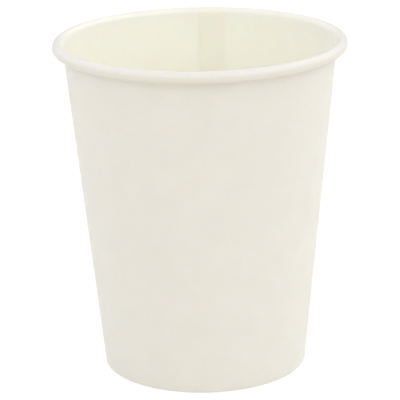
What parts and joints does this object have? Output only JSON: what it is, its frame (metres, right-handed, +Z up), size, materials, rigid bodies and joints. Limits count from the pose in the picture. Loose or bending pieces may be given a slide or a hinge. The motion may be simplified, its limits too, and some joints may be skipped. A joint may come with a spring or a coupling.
{
  "type": "paper coffee cup",
  "caption": "Single-wall paper hot-drink cup: a tapered board wall with a rolled rim, a lapped side seam and a recessed bottom disc held in a folded hem.",
  "frame": {"origin": "centre of the foot's ring, in the plane of the table that the cup stands on", "axes": "+Z up along the cup's axis, +Y from the axis to the inner edge of the side seam, +X to the right in the picture"},
  "size_m": [0.08, 0.08, 0.092],
  "materials": {
    "wall_board": "ivory-white uncoated outside with fine fibre, satin lining inside",
    "bottom_board": "ivory-white uncoated underside, satin lining on top"
  },
  "bodies": {
    "root": {"side_wall": "wall_board", "bottom_disc": "bottom_board"}
  },
  "joints": []
}
